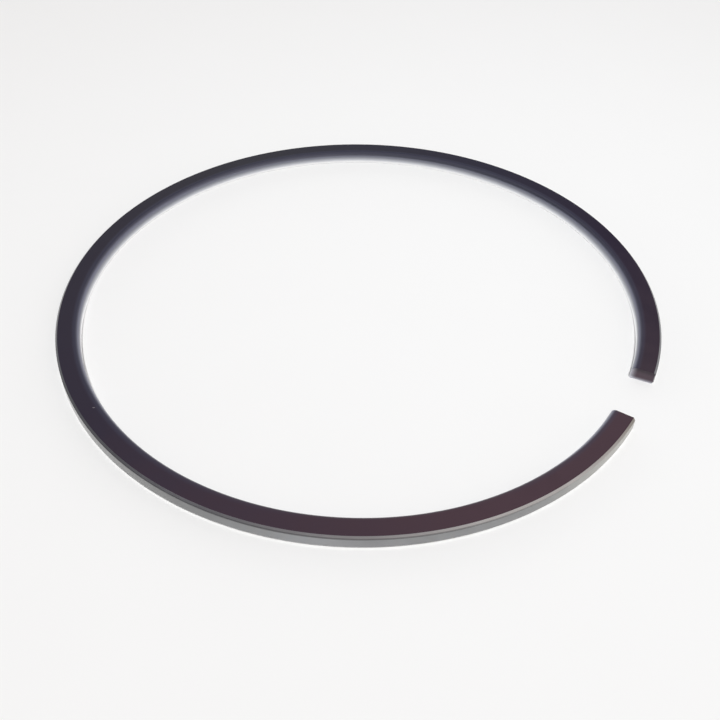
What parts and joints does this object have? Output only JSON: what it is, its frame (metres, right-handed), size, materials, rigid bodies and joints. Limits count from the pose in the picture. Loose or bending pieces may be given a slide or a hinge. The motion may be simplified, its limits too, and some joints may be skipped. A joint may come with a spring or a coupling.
{
  "type": "piston ring",
  "caption": "Split metal compression ring with an open end gap, a chamfered running face and a rounded inner edge, sprung open so that it seals a piston in its bore.",
  "frame": {"origin": "centre of the ring's outline, on the plane of its lower side", "axes": "+Z along the ring's axis and out of its upper side, +X from the back to the end gap, +Y along the longest reach across the ring"},
  "size_m": [0.0878, 0.0896, 0.002],
  "materials": {
    "coated_steel": "dark oxide on the sides, with a ground grey running face and a bright inner edge"
  },
  "bodies": {
    "root": {"piston_ring": "coated_steel"}
  },
  "joints": []
}
